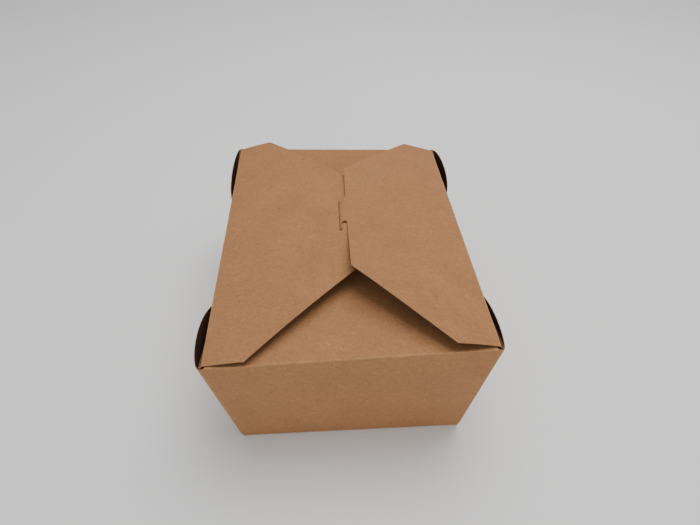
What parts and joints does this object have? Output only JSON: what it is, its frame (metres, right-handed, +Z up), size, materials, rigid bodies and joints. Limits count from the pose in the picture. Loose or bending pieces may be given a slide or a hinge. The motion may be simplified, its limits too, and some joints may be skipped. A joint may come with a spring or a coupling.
{
  "type": "takeaway box",
  "caption": "Tapered folded paperboard food box with folded web corners, short end flaps and two long flaps that lock with a tab in a slit.",
  "frame": {"origin": "middle of the resting face, on the surface that the box stands on", "axes": "+Z up through the mouth, +Y along the box parallel to the long creases, +X across it towards the crease of the locking flap"},
  "size_m": [0.1712, 0.2166, 0.1093],
  "materials": {
    "paperboard": "matte"
  },
  "bodies": {
    "carton": {"carton": "paperboard"},
    "locking_flap": {"locking_flap": "paperboard"}
  },
  "joints": [
    {"name": "locking_flap_crease", "type": "hinge", "parent": "carton", "child": "locking_flap", "pos_m": [0.0795, 0, 0.089], "axis": [-0.0032, 0.9996, -0.0296], "range_deg": [0, 150]}
  ]
}
